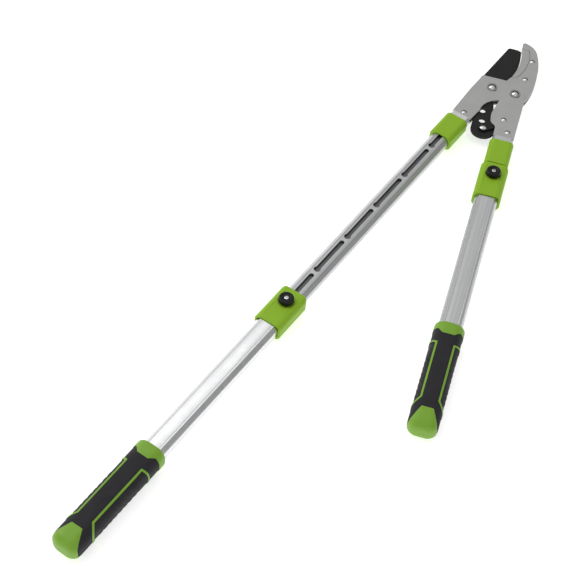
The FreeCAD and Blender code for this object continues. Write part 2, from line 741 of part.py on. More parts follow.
def settle():
    """Moves every node so that the origin is under the middle of the whole object."""
    box = FreeCAD.BoundBox()
    for node in nodes.values():
        box.add(node.Shape.optimalBoundingBox(False, False))
    shift = V(-box.Center.x, -box.Center.y, -box.ZMin)
    for node in nodes.values():
        node.Placement = FreeCAD.Placement(shift, FreeCAD.Rotation()).multiply(node.Placement)
    print("main pivot at", round(shift.x, 4), round(shift.y, 4), round(shift.z, 4))


def check_states():
    for thing in doc.Objects:
        if {"Invalid", "Error"} & set(thing.State):
            raise RuntimeError(f"{thing.Label} is {thing.State}")
    for name, node in nodes.items():
        if node.Shape.isNull() or not node.Shape.isValid() or not node.Shape.Solids:
            raise RuntimeError(f"{name} has no valid solid")


anvil_plates()
anvil()
anvil_arm_core()
head_fasteners()
lever_plates()
lever_arm_core()
lever_fasteners()
blade()
links()
handle("left", ANVIL_ARM, 2 * plate_floor, TRAVEL)
handle("right", LEVER_ARM, 2 * lever_floor, 0.0)
doc.recompute()
settle()
doc.recompute()
check_states()
for name, node in nodes.items():
    node.Shape.exportStep(f"parts/{name}.step")
print(len(nodes), "parts")
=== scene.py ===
# %% [markdown]
# # Telescopic loppers
# The tool is two drawn aluminium arms on a steel head. The CAD model fixes every size and every
# joint, so it is loaded first and never moved. Blender's work is what CAD leaves out: soft edges,
# moulded detail and real finishes.

# %% Load the fixed frame
import json
import math

import bmesh
import bpy
from mathutils import Matrix, Vector


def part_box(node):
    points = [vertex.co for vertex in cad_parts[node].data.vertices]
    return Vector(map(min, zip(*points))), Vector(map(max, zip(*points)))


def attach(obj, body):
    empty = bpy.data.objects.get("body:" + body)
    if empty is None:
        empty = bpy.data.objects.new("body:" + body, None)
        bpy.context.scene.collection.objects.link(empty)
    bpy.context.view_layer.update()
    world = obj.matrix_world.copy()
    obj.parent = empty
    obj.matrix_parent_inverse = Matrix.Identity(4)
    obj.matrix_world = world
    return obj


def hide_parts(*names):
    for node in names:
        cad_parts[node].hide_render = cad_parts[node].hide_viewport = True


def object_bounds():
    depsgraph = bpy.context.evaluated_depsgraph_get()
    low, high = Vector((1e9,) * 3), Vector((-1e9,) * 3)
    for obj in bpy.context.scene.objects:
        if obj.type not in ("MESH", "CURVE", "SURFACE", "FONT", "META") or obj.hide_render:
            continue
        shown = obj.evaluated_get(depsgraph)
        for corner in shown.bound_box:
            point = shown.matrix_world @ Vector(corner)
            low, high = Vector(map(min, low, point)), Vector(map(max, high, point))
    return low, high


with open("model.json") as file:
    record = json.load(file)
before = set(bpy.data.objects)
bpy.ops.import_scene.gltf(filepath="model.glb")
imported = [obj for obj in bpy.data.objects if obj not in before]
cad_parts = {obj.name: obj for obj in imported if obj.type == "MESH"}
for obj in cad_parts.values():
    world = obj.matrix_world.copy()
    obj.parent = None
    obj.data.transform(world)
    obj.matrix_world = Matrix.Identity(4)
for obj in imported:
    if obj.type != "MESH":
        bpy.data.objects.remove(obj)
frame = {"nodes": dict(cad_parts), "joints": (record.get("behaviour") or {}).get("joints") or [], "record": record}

CAD_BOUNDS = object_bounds()
MM = 0.001
print("CAD box:", [round(v, 4) for v in CAD_BOUNDS[0]], [round(v, 4) for v in CAD_BOUNDS[1]])


# %% [markdown]
# ## Where things are
# Every position is read from the frame. A turned piece, such as a rivet or a knob, has its axis
# in the middle of its box, and the extension joints say which way each arm runs.

# %% Landmarks
def middle(node):
    low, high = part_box(node)
    return (low + high) / 2


joints = {j["name"]: j for j in frame["joints"]}
pivot = middle("main_pivot")
ARM_UP = {
    "left": Vector(joints["left_extension"]["axis"]).normalized(),
    "right": -Vector(joints["right_extension"]["axis"]).normalized(),
}
print("main pivot at", [round(v, 4) for v in pivot])


# %% [markdown]
# ## Camera, floor and light
# The camera looks down at the tool from the front with a long lens, rolled a few degrees. The
# floor gives off light of its own, as a light table does, so shadows stay faint and the
# undersides aren't black.

# %% Camera
AZIMUTH, ELEVATION, ROLL = math.radians(10.11), math.radians(51.56), math.radians(6.73)
DISTANCE, LENS = 1.8065, 94.4
AIM = pivot + Vector((-0.1938, -0.4123, 0.0))


def make_camera():
    level = math.cos(ELEVATION)
    back = Vector((math.sin(AZIMUTH) * level, -math.cos(AZIMUTH) * level, math.sin(ELEVATION)))
    data = bpy.data.cameras.new("camera")
    data.lens, data.sensor_width = LENS, 36.0
    data.clip_start, data.clip_end = 0.05, 50.0
    camera = bpy.data.objects.new("camera", data)
    bpy.context.scene.collection.objects.link(camera)
    turn = back.to_track_quat("Z", "Y").to_matrix() @ Matrix.Rotation(ROLL, 3, "Z")
    camera.matrix_world = Matrix.Translation(AIM + back * DISTANCE) @ turn.to_4x4()
    bpy.context.scene.camera = camera
    return camera


camera = make_camera()
print("camera at", [round(v, 3) for v in camera.location])


# %% [markdown]
# A soft panel stands beyond the head, where the flat top of the drawn-out arm mirrors it towards
# the camera. Two more panels light the front and the left. The sky is a plain gradient, white
# above and to the left and grey low on the right, so that the sides of the tubes show up against
# the floor.

# %% Light
def soft_panel(name, place, aim, width, depth, watts):
    data = bpy.data.lights.new(name, "AREA")
    data.shape, data.size, data.size_y, data.energy = "RECTANGLE", width, depth, watts
    panel = bpy.data.objects.new(name, data)
    bpy.context.scene.collection.objects.link(panel)
    turn = (place - aim).to_track_quat("Z", "Y").to_matrix()
    panel.matrix_world = Matrix.Translation(place) @ turn.to_4x4()


def mirrored_place(spot, reach):
    """Where a panel stands so that a level face at `spot` mirrors it into the camera."""
    look = (spot - camera.location).normalized()
    return spot + Vector((look.x, look.y, -look.z)) * reach


long_tube = middle("outer_tube_left")
soft_panel("back_panel", mirrored_place(long_tube, 1.25), long_tube, 0.55, 0.5, 0.7)
soft_panel("front_panel", Vector((0.9, -1.5, 1.7)), Vector((0, 0, 0)), 1.4, 1.0, 3.5)
soft_panel("left_panel", Vector((-1.5, 0.2, 1.6)), Vector((0, 0, 0)), 1.2, 1.2, 10.0)


# %% Sky
BRIGHT_WAY = Vector((-0.5, 0.25, 0.83)).normalized()
SKY_STRENGTH, SKY_GREY, WHITE_FROM = 0.66, (0.5, 0.5, 0.505, 1), 0.72


def make_sky():
    world = bpy.data.worlds.new("sky")
    bpy.context.scene.world = world
    world.use_nodes = True
    tree = world.node_tree
    place = tree.nodes.new("ShaderNodeTexCoord")
    facing = tree.nodes.new("ShaderNodeVectorMath")
    facing.operation = "DOT_PRODUCT"
    facing.inputs[1].default_value = BRIGHT_WAY
    ramp = tree.nodes.new("ShaderNodeValToRGB")
    stops = ramp.color_ramp.elements
    stops[0].position, stops[0].color = 0.0, SKY_GREY
    stops[1].position, stops[1].color = WHITE_FROM, (1, 1, 1, 1)
    tree.links.new(place.outputs["Generated"], facing.inputs[0])
    tree.links.new(facing.outputs["Value"], ramp.inputs[0])
    tree.links.new(ramp.outputs[0], tree.nodes["Background"].inputs["Color"])
    tree.nodes["Background"].inputs["Strength"].default_value = SKY_STRENGTH


make_sky()
bpy.context.scene.view_settings.view_transform = "Standard"


# %% [markdown]
# ## Node helpers
# A finish is a small tree of shader nodes. These helpers add a node, fill its sockets and hand
# back an output, so each finish below reads as a list of what it is made of.

# %% Node helpers
def add_node(tree, kind, sockets=(), **settings):
    made = tree.nodes.new("ShaderNode" + kind)
    for key, value in settings.items():
        setattr(made, key, value)
    for key, value in dict(sockets).items():
        if isinstance(value, bpy.types.NodeSocket):
            tree.links.new(value, made.inputs[key])
        else:
            made.inputs[key].default_value = value
    return made


def maths(tree, operation, a, b):
    return add_node(tree, "Math", {0: a, 1: b}, operation=operation).outputs[0]


def spread(tree, value, low, high, to_low=0.0, to_high=1.0):
    """Stretches a value from one range to another, and stops at its ends."""
    sockets = {0: value, 1: low, 2: high, 3: to_low, 4: to_high}
    return add_node(tree, "MapRange", sockets).outputs[0]


def mixed(tree, share, a, b):
    return add_node(tree, "Mix", {0: share, 6: a, 7: b}, data_type="RGBA").outputs[2]


def new_group(name, inputs, outputs):
    tree = bpy.data.node_groups.new(name, "ShaderNodeTree")
    for label, value in inputs:
        socket = tree.interface.new_socket(label, in_out="INPUT", socket_type="NodeSocketFloat")
        socket.default_value = value
    for label in outputs:
        tree.interface.new_socket(label, in_out="OUTPUT", socket_type="NodeSocketFloat")
    start, end = tree.nodes.new("NodeGroupInput"), tree.nodes.new("NodeGroupOutput")
    return tree, start.outputs, end.inputs


def use_group(tree, group, **values):
    placed = tree.nodes.new("ShaderNodeGroup")
    placed.node_tree = group
    for label, value in values.items():
        placed.inputs[label].default_value = value
    return placed.outputs


# %% [markdown]
# ## Shared effects
# Blasted steel, moulded plastic and rubber all have a fine even grain that differs only in size.
# Drawn aluminium has lines along its length. Every finish also has slow smudges, and hard edges
# wear first. Each effect is one group.

# %% Texture helpers
def object_space(tree):
    return add_node(tree, "TexCoord").outputs["Object"]


def per_metre(tree, size):
    """Turns a size in millimetres into a texture scale."""
    return maths(tree, "DIVIDE", 1000.0, size)


def noise(tree, place, scale, **sockets):
    return add_node(tree, "TexNoise", {"Vector": place, "Scale": scale, **sockets}).outputs[0]


def blend(tree, share, a, b):
    """A share of the first value and the rest of the second."""
    first = maths(tree, "MULTIPLY", a, share)
    return maths(tree, "ADD", first, maths(tree, "MULTIPLY", b, 1 - share))


# %% Grain
def make_grain():
    tree, given, out = new_group("fine grain", [("Size", 0.5)], ["Height", "Tone"])
    place, scale = object_space(tree), per_metre(tree, given["Size"])
    lumps = noise(tree, place, scale, Detail=3.0)
    closer = maths(tree, "MULTIPLY", scale, 1.9)
    cells = add_node(tree, "TexVoronoi", {"Vector": place, "Scale": closer}).outputs["Distance"]
    height = blend(tree, 0.6, lumps, cells)
    tree.links.new(height, out["Height"])
    tree.links.new(spread(tree, height, 0.32, 0.62), out["Tone"])
    return tree


GRAIN = make_grain()


# %% Drawn lines
def make_drawn_lines():
    inputs = [("Turn", 0.0), ("Size", 0.4)]
    tree, given, out = new_group("drawn lines", inputs, ["Height", "Tone"])
    turned = {"Vector": object_space(tree), "Angle": given["Turn"]}
    straight = add_node(tree, "VectorRotate", turned, rotation_type="Z_AXIS").outputs[0]
    long_scale = {"Vector": straight, "Scale": (1.0, 0.006, 1.0)}
    stretched = add_node(tree, "Mapping", long_scale).outputs[0]
    scale = per_metre(tree, given["Size"])
    fine = noise(tree, stretched, scale, Detail=4.0)
    wide = noise(tree, stretched, maths(tree, "MULTIPLY", scale, 0.17), Detail=2.0)
    height = blend(tree, 0.65, fine, wide)
    tree.links.new(height, out["Height"])
    tree.links.new(spread(tree, height, 0.36, 0.64), out["Tone"])
    return tree


DRAWN_LINES = make_drawn_lines()


# %% Smudges
def make_smudges():
    tree, given, out = new_group("smudges", [("Size", 20.0)], ["Tone"])
    scale = per_metre(tree, given["Size"])
    cloud = noise(tree, object_space(tree), scale, Detail=5.0, Roughness=0.6)
    tree.links.new(spread(tree, cloud, 0.3, 0.7), out["Tone"])
    return tree


SMUDGES = make_smudges()


# %% Edge wear
def make_edge_wear():
    inputs = [("Radius", 0.0006), ("Amount", 1.0)]
    tree, given, out = new_group("edge wear", inputs, ["Mask"])
    rounded = add_node(tree, "Bevel", {"Radius": given["Radius"]}, samples=4).outputs[0]
    flat = add_node(tree, "NewGeometry").outputs["Normal"]
    same = add_node(tree, "VectorMath", {0: rounded, 1: flat}, operation="DOT_PRODUCT")
    edge = spread(tree, same.outputs["Value"], 0.995, 0.80)
    patches = noise(tree, object_space(tree), 220.0, Detail=4.0)
    worn = maths(tree, "MULTIPLY", edge, spread(tree, patches, 0.42, 0.58))
    tree.links.new(maths(tree, "MULTIPLY", worn, given["Amount"]), out["Mask"])
    return tree


EDGE_WEAR = make_edge_wear()
print("groups:", sorted(g.name for g in bpy.data.node_groups))


# %% [markdown]
# ## Finishes
# One recipe covers them all: two close tones mixed by the grain, roughness that drifts with the
# smudges, a small bump and, on some, a worn tone on the edges. Only the numbers tell blasted
# steel from green plastic.

# %% The recipe
SMUDGE_SHARE = 0.35
# Facing values over which the painted dark reflection on polished steel fades in.
PAINTED_REFLECTION_FROM_TO = 0.25, 0.37
SOFT_RADIUS, BUMP_STRENGTH = 0.0003, 0.6


def colour(red, green, blue):
    return (red, green, blue, 1.0)


def make_finish(
    name, tones, rough, grain, relief, metallic=0.0,
    worn=None, wear=0.0, lines=None, painted_dark_reflection=None, **shader
):
    """Makes one material. Grain and relief are in millimetres.

    tones: two base colours. rough: lowest and highest roughness. lines: the turn of the drawn
    lines, for aluminium. painted_dark_reflection: the tone of a painted dark reflection, mixed in
    where a surface is seen from the side, for small domes that mirror a dark surrounding.
    """
    material = bpy.data.materials.new(name)
    material.use_nodes = True
    tree = material.node_tree
    surface = tree.nodes["Principled BSDF"]
    if lines is None:
        texture = use_group(tree, GRAIN, Size=grain)
    else:
        texture = use_group(tree, DRAWN_LINES, Size=grain, Turn=lines)
    smudge = use_group(tree, SMUDGES)["Tone"]
    base = mixed(tree, texture["Tone"], *tones)
    base = mixed(tree, maths(tree, "MULTIPLY", smudge, SMUDGE_SHARE), base, tones[0])
    if painted_dark_reflection is not None:
        # Painted dark reflection: towards the sides of a surface, a dark tone is mixed into the colour. It stands
        # in for the dark surroundings that small polished domes mirror.
        painted_reflection_facing = add_node(tree, "LayerWeight", {"Blend": 0.5}).outputs["Facing"]
        base = mixed(tree, spread(tree, painted_reflection_facing, *PAINTED_REFLECTION_FROM_TO), base, painted_dark_reflection)
    roughness = spread(tree, smudge, 0.0, 1.0, *rough)
    if worn is not None:
        mask = use_group(tree, EDGE_WEAR, Amount=wear)["Mask"]
        base = mixed(tree, mask, base, worn)
    soft = add_node(tree, "Bevel", {"Radius": SOFT_RADIUS}, samples=4).outputs[0]
    bump = add_node(tree, "Bump", {
        "Strength": BUMP_STRENGTH, "Distance": relief * MM,
        "Height": texture["Height"], "Normal": soft,
    })
    tree.links.new(base, surface.inputs["Base Color"])
    tree.links.new(roughness, surface.inputs["Roughness"])
    tree.links.new(bump.outputs[0], surface.inputs["Normal"])
    surface.inputs["Metallic"].default_value = metallic
    for label, value in shader.items():
        surface.inputs[label.replace("_", " ")].default_value = value
    return material


# %% Drawn aluminium
TURN = {side: math.atan2(up.x, up.y) for side, up in ARM_UP.items()}
INNER_TONES = colour(0.52, 0.525, 0.53), colour(0.66, 0.665, 0.67)
OUTER_ROUGH, INNER_ROUGH = (0.24, 0.34), (0.36, 0.46)


def drawn(name, side, tones, rough):
    """Aluminium with fine lines along that side's arm."""
    return make_finish(
        name, tones, rough, metallic=1.0, grain=0.35, relief=0.012, lines=TURN[side]
    )


# %% Metals, plastics and rubber
FINISH = {
    "plate": make_finish(
        "blasted_steel", (colour(0.47, 0.47, 0.462), colour(0.60, 0.60, 0.59)), (0.44, 0.52),
        metallic=1.0, grain=0.32, relief=0.05, worn=colour(0.7, 0.7, 0.7), wear=0.6,
    ),
    # Polished steel carries a painted dark reflection where its domes turn away from the camera.
    "polished": make_finish(
        "polished_steel", (colour(0.80, 0.80, 0.80), colour(0.72, 0.72, 0.73)), (0.07, 0.14),
        metallic=1.0, grain=0.8, relief=0.004, painted_dark_reflection=colour(0.06, 0.055, 0.052),
    ),
    "black_steel": make_finish(
        "black_coating",
        (colour(0.008, 0.008, 0.008), colour(0.016, 0.016, 0.016)), (0.42, 0.55),
        grain=0.35, relief=0.02, worn=colour(0.16, 0.16, 0.16), wear=0.3,
        Specular_IOR_Level=0.25,
    ),
    "black_plastic": make_finish(
        "black_plastic",
        (colour(0.014, 0.014, 0.015), colour(0.024, 0.024, 0.025)), (0.45, 0.6),
        grain=0.5, relief=0.02,
    ),
    # Both outer tubes are the same aluminium. The left one has a lighter tone, painted light for the bright
    # reflection along its top.
    "aluminium_left": drawn(
        "drawn_aluminium_left", "left",
        (colour(0.74, 0.745, 0.75), colour(0.86, 0.865, 0.87)), OUTER_ROUGH,
    ),
    # The right outer tube has a darker tone, painted shade.
    "aluminium_right": drawn(
        "drawn_aluminium_right", "right",
        (colour(0.56, 0.565, 0.57), colour(0.74, 0.745, 0.75)), OUTER_ROUGH,
    ),
    "aluminium_inner_left": drawn("drawn_inner_left", "left", INNER_TONES, INNER_ROUGH),
    "aluminium_inner_right": drawn("drawn_inner_right", "right", INNER_TONES, INNER_ROUGH),
    # The web's dark tone is painted shade for the floors of the slots.
    "web": make_finish(
        "dull_web", (colour(0.15, 0.15, 0.152), colour(0.21, 0.21, 0.212)), (0.45, 0.55),
        metallic=1.0, grain=0.5, relief=0.01,
    ),
    "green": make_finish(
        "green_plastic", (colour(0.270, 0.50, 0.016), colour(0.305, 0.54, 0.024)), (0.42, 0.54),
        grain=0.4, relief=0.015, worn=colour(0.36, 0.56, 0.12), wear=0.3,
        Specular_IOR_Level=0.3,
    ),
    "green_grip": make_finish(
        "green_grip", (colour(0.185, 0.395, 0.018), colour(0.22, 0.435, 0.026)), (0.4, 0.52),
        grain=0.5, relief=0.02, worn=colour(0.30, 0.48, 0.12), wear=0.3,
    ),
    "grip_rubber": make_finish(
        "grip_rubber", (colour(0.014, 0.014, 0.016), colour(0.026, 0.025, 0.029)), (0.6, 0.75),
        grain=0.6, relief=0.06, Specular_IOR_Level=0.3,
    ),
    "knob": make_finish(
        "gloss_black", (colour(0.006, 0.006, 0.006), colour(0.011, 0.011, 0.011)), (0.2, 0.3),
        grain=0.9, relief=0.004, Specular_IOR_Level=0.22,
    ),
}
print("finishes:", sorted(FINISH))


# %% [markdown]
# ## The CAD pieces
# A CAD piece whose shape is right keeps it, and only its finish changes. The record says which
# slot each piece has.

# %% Finishes on the CAD pieces
def finish_for(node, slot):
    if slot == "aluminium":
        slot += "_left" if node.endswith("left") else "_right"
    return FINISH[slot]


slots = {s["node"]: s["material_slot"] for s in frame["record"]["subparts"]}
for name, piece in frame["nodes"].items():
    piece.data.materials.clear()
    piece.data.materials.append(finish_for(name, slots[name]))
print(len(slots), "CAD pieces finished")


# %% [markdown]
# ## Floor
# A plain pale sheet, wide enough for every view.

# %% Floor
FLOOR_SIZE, FLOOR_GAP, FLOOR_GLOW = 12, 0.5 * MM, 0.62


def make_floor():
    bpy.ops.object.select_all(action="DESELECT")
    under = CAD_BOUNDS[0][2] - FLOOR_GAP
    bpy.ops.mesh.primitive_plane_add(size=FLOOR_SIZE, location=(0, 0, under))
    floor = bpy.context.object
    floor.name = "floor"
    material = bpy.data.materials.new("pale_sheet")
    material.use_nodes = True
    tree = material.node_tree
    surface = tree.nodes["Principled BSDF"]
    cloud = use_group(tree, SMUDGES, Size=300.0)["Tone"]
    pale = mixed(tree, cloud, colour(0.93, 0.93, 0.93), colour(0.95, 0.95, 0.95))
    tree.links.new(pale, surface.inputs["Base Color"])
    tree.links.new(pale, surface.inputs["Emission Color"])
    surface.inputs["Emission Strength"].default_value = FLOOR_GLOW
    surface.inputs["Roughness"].default_value = 0.9
    floor.data.materials.append(material)


make_floor()


# %% [markdown]
# ## Modelling helpers
# Each new piece starts as a primitive in the arm's own frame: x across the arm, y up towards the
# head, z towards the viewer, with the lock knob's axis as origin. A piece is modelled once there,
# then a copy is put on each arm.

# %% The arm's own frame
def arm_matrix(side):
    up = ARM_UP[side]
    origin = middle(f"lock_knob_{side}")
    across = Vector((up.y, -up.x, 0))
    turn = Matrix((across, up, Vector((0, 0, 1)))).transposed()
    return Matrix.Translation((origin.x, origin.y, pivot.z)) @ turn.to_4x4()


def spans(node, side):
    """The lowest and highest corner of a CAD piece along its arm's own axes."""
    back = arm_matrix(side).inverted()
    points = [back @ v.co for v in frame["nodes"][node].data.vertices]
    low = Vector(min(p[i] for p in points) for i in range(3))
    high = Vector(max(p[i] for p in points) for i in range(3))
    return low, high


def body_with(node):
    bodies = frame["record"]["behaviour"]["bodies"]
    return next(body for body, members in bodies.items() if node in members)


# %% Starting, choosing and cutting
def active(piece):
    bpy.ops.object.select_all(action="DESELECT")
    piece.select_set(True)
    bpy.context.view_layer.objects.active = piece


def start_box(name, low, high):
    bpy.ops.object.select_all(action="DESELECT")
    bpy.ops.mesh.primitive_cube_add(size=1, location=(low + high) / 2)
    piece = bpy.context.object
    piece.name, piece.scale = name, high - low
    bpy.ops.object.transform_apply(location=True, rotation=True, scale=True)
    return piece


def start_disc(name, radius, low, high, sides):
    bpy.ops.object.select_all(action="DESELECT")
    bpy.ops.mesh.primitive_cylinder_add(
        vertices=sides, radius=radius, depth=high - low, location=(0, 0, (low + high) / 2)
    )
    piece = bpy.context.object
    piece.name = name
    bpy.ops.object.transform_apply(location=True, rotation=True, scale=True)
    return piece


def choose(piece, kind, test):
    """In edit mode, selects the edges or faces that pass a test, and says how many there are."""
    bpy.ops.mesh.select_mode(type=kind)
    bpy.ops.mesh.select_all(action="DESELECT")
    mesh = bmesh.from_edit_mesh(piece.data)
    parts = mesh.edges if kind == "EDGE" else mesh.faces
    found = [part for part in parts if test(part)]
    for part in found:
        part.select_set(True)
    bmesh.update_edit_mesh(piece.data)
    return len(found)


def edge_middle(edge):
    return (edge.verts[0].co + edge.verts[1].co) / 2


def runs_along_arm(edge):
    a, b = edge.verts[0].co, edge.verts[1].co
    return abs(a.y - b.y) > 5 * abs((a - b).xz.length)


def at(value, target, slack=1e-5):
    return abs(value - target) < slack


def cut(piece, point, normal, test):
    """Cuts the faces that pass a test with a plane."""
    if choose(piece, "FACE", test):
        bpy.ops.mesh.bisect(plane_co=point, plane_no=Vector(normal).normalized())


def apply_modifier(piece, kind, **settings):
    active(piece)
    modifier = piece.modifiers.new(kind.lower(), kind)
    for key, value in settings.items():
        setattr(modifier, key, value)
    bpy.ops.object.modifier_apply(modifier=modifier.name)


def smooth(piece, degrees):
    active(piece)
    bpy.ops.object.shade_smooth_by_angle(angle=math.radians(degrees))


# %% Putting a finished piece on both arms
def put_on_arm(piece, part, side, finish):
    """Copies a piece from the arm's frame to where CAD has `part` on that side."""
    node = f"{part}_{side}"
    copy = piece.copy()
    copy.data = piece.data.copy()
    copy.name = f"{piece.name}_{side}"
    bpy.context.scene.collection.objects.link(copy)
    shift = spans(node, side)[0] - spans(f"{part}_right", "right")[0]
    active(copy)
    copy.matrix_world = arm_matrix(side) @ Matrix.Translation(shift)
    bpy.ops.object.transform_apply(location=True, rotation=True, scale=True)
    copy.data.materials.clear()
    copy.data.materials.append(finish)
    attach(copy, body_with(node))
    return copy


def put_on_both(piece, part, slot_name, finish, *replaced):
    for side in ("left", "right"):
        material = finish if isinstance(finish, bpy.types.Material) else FINISH[f"{finish}_{side}"]
        copy = put_on_arm(piece, part, side, material)
        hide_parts(*[f"{r}_{side}" for r in replaced])
    count = len(piece.data.polygons)
    bpy.data.objects.remove(piece)
    print(part, "on both arms,", count, "faces each")


# %% [markdown]
# ## Grips
# Each grip is a green moulding with a soft black cover let into it: a chevron at the top, a lobed
# cap at the bottom and a thin green line down each side of the centre panel. One rounded box is
# cut along those lines, and the black faces are taken off as a piece of their own, so both pieces
# start from exactly the same surface. The upper end is open where the tubes go in.

# %% The grip's block
GRIP_LOW, GRIP_HIGH = spans("grip_core_right", "right")
GRIP_LONG = GRIP_HIGH.y - GRIP_LOW.y
GRIP_HALF = GRIP_HIGH.x
LONG_ROUND, CAP_ROUND, SHOULDER_ROUND = 13 * MM, 11 * MM, 4 * MM
GRIP_LIP = 0.7 * MM


def make_grip_block():
    grip = start_box("grip_core", GRIP_LOW, GRIP_HIGH)
    active(grip)
    bpy.ops.object.mode_set(mode="EDIT")
    choose(grip, "EDGE", runs_along_arm)
    bpy.ops.mesh.bevel(offset=LONG_ROUND, segments=8, affect="EDGES")
    choose(grip, "EDGE", lambda e: at(edge_middle(e).y, GRIP_LOW.y))
    bpy.ops.mesh.bevel(offset=CAP_ROUND, segments=8, affect="EDGES")
    choose(grip, "EDGE", lambda e: at(edge_middle(e).y, GRIP_HIGH.y))
    bpy.ops.mesh.bevel(offset=SHOULDER_ROUND, segments=4, affect="EDGES")

    def is_upper_end(face):
        return face.normal.y > 0.99 and at(face.calc_center_median().y, GRIP_HIGH.y, 1e-4)

    choose(grip, "FACE", is_upper_end)
    bpy.ops.mesh.inset(thickness=GRIP_LIP, depth=0)
    bpy.ops.mesh.delete(type="FACE")
    bpy.ops.object.mode_set(mode="OBJECT")
    return grip


# %% The lines it is cut along
def mm_path(*points):
    """Turns (across, down from the grip's top) in millimetres into points in metres."""
    return [(x * MM, GRIP_HIGH.y - down * MM) for x, down in points]


END = GRIP_LONG / MM
SIDE = GRIP_HALF / MM + 1
LINE_NEAR, LINE_FAR = 9.4, 11.7
COVER = mm_path(
    (-SIDE, 12.4), (-13, 12.4), (-7.2, 18.6), (7.2, 18.6), (13, 12.4), (SIDE, 12.4),
    (SIDE, END - 6), (16.4, END - 6), (13, END - 13), (7, END - 26),
    (-7, END - 26), (-13, END - 13), (-16.4, END - 6), (-SIDE, END - 6),
)
LINE_OUTER = [(SIDE, 28.8), (LINE_NEAR, 32.2), (LINE_NEAR, END - 38.3), (SIDE, END - 26.2)]
LINE_INNER = [(SIDE, END - 29.6), (LINE_FAR, END - 39.4), (LINE_FAR, 34.3), (SIDE, 31.3)]
LINES = [mm_path(*[(way * x, down) for x, down in LINE_OUTER + LINE_INNER]) for way in (-1, 1)]


def inside(outline, x, y):
    """Whether a point lies inside a closed outline."""
    within = False
    for (ax, ay), (bx, by) in zip(outline, outline[1:] + outline[:1]):
        if (ay > y) != (by > y) and x < ax + (y - ay) * (bx - ax) / (by - ay):
            within = not within
    return within


def cut_along(piece, outline):
    """Cuts the block with an upright plane through each run of an outline, only near that run."""
    for (ax, ay), (bx, by) in zip(outline, outline[1:] + outline[:1]):
        if min(abs(ax), abs(bx)) > GRIP_HALF:
            continue
        low_x, high_x, low_y, high_y = min(ax, bx), max(ax, bx), min(ay, by), max(ay, by)

        def near(face):
            xs, ys = [v.co.x for v in face.verts], [v.co.y for v in face.verts]
            beside = min(xs) < high_x and max(xs) > low_x
            return beside and min(ys) < high_y + MM and max(ys) > low_y - MM

        cut(piece, (ax, ay, 0), (by - ay, ax - bx, 0), near)


# %% Cutting the block and taking off the cover
def is_black(face):
    spot = face.calc_center_median()
    on_line = any(inside(line, spot.x, spot.y) for line in LINES)
    return inside(COVER, spot.x, spot.y) and not on_line


def split_grip():
    grip = make_grip_block()
    active(grip)
    bpy.ops.object.mode_set(mode="EDIT")
    for outline in [COVER] + LINES:
        cut_along(grip, outline)
    black = choose(grip, "FACE", is_black)
    bpy.ops.mesh.separate(type="SELECTED")
    bpy.ops.object.mode_set(mode="OBJECT")
    cover = next(o for o in bpy.context.selected_objects if o != grip)
    cover.name = "grip_cover"
    print("grip cut into", black, "black and", len(grip.data.polygons), "green faces")
    return grip, cover


# %% [markdown]
# The cover sits half a millimetre below the green, with a sloped rim. Its side panels are lower
# still and carry slanting ribs, which stand most of the way back up to the centre panel. An inset
# with a depth makes each step.

# %% Steps and ribs
COVER_DEPTH, PANEL_DEPTH, RIB_HEIGHT, GREEN_RISE = 0.4 * MM, 0.38 * MM, 0.28 * MM, 0.12 * MM
RIM = 0.35 * MM
PANEL_RIM, GREEN_RIM, SHELL = 0.4 * MM, 0.3 * MM, 2.4 * MM
PANEL_TOP, PANEL_FOOT = 35.4 * MM, 40.6 * MM
RIB_PITCH, RIB_WIDTH, RIB_LEAN = 6.4 * MM, 4.0 * MM, math.radians(38)
RIB_NORMAL = Vector((0, math.cos(RIB_LEAN), math.sin(RIB_LEAN)))


def on_side_panel(margin):
    def test(face):
        spot = face.calc_center_median()
        top, foot = GRIP_HIGH.y - PANEL_TOP - margin, GRIP_LOW.y + PANEL_FOOT + margin
        return abs(spot.x) > LINE_FAR * MM + margin and foot < spot.y < top

    return test


def rib_share(face):
    """How far along its rib's pitch a face lies, from 0 to 1."""
    reach = face.calc_center_median().dot(RIB_NORMAL)
    return (reach / RIB_PITCH) % 1.0


def cut_ribs(cover):
    panel = on_side_panel(0.3 * MM)
    depth = (GRIP_HIGH.z - GRIP_LOW.z) / 2
    first = math.floor((GRIP_LOW.y - depth) / RIB_PITCH)
    last = math.ceil((GRIP_HIGH.y + depth) / RIB_PITCH)
    for i in range(first, last):
        for reach in (i * RIB_PITCH, i * RIB_PITCH + RIB_WIDTH):
            cut(cover, RIB_NORMAL * reach, RIB_NORMAL, panel)
    choose(cover, "FACE", lambda f: panel(f) and rib_share(f) < RIB_WIDTH / RIB_PITCH)
    bpy.ops.mesh.inset(thickness=RIM, depth=RIB_HEIGHT)


def finish_grip():
    grip, cover = split_grip()
    active(cover)
    bpy.ops.object.mode_set(mode="EDIT")
    bpy.ops.mesh.select_all(action="SELECT")
    bpy.ops.mesh.inset(thickness=RIM, depth=-COVER_DEPTH, use_boundary=True)
    choose(cover, "FACE", on_side_panel(0.0))
    bpy.ops.mesh.inset(thickness=PANEL_RIM, depth=-PANEL_DEPTH)
    cut_ribs(cover)
    bpy.ops.object.mode_set(mode="OBJECT")
    active(grip)
    bpy.ops.object.mode_set(mode="EDIT")
    bpy.ops.mesh.select_all(action="SELECT")
    bpy.ops.mesh.inset(thickness=GREEN_RIM, depth=GREEN_RISE, use_boundary=True)
    bpy.ops.object.mode_set(mode="OBJECT")
    for shell in (grip, cover):
        apply_modifier(shell, "SOLIDIFY", thickness=SHELL, offset=-1.0)
        smooth(shell, 32)
    put_on_both(grip, "grip_core", "green", FINISH["green_grip"], "grip_core")
    put_on_both(cover, "grip_cover", "grip_rubber", FINISH["grip_rubber"], "grip_cover")


finish_grip()


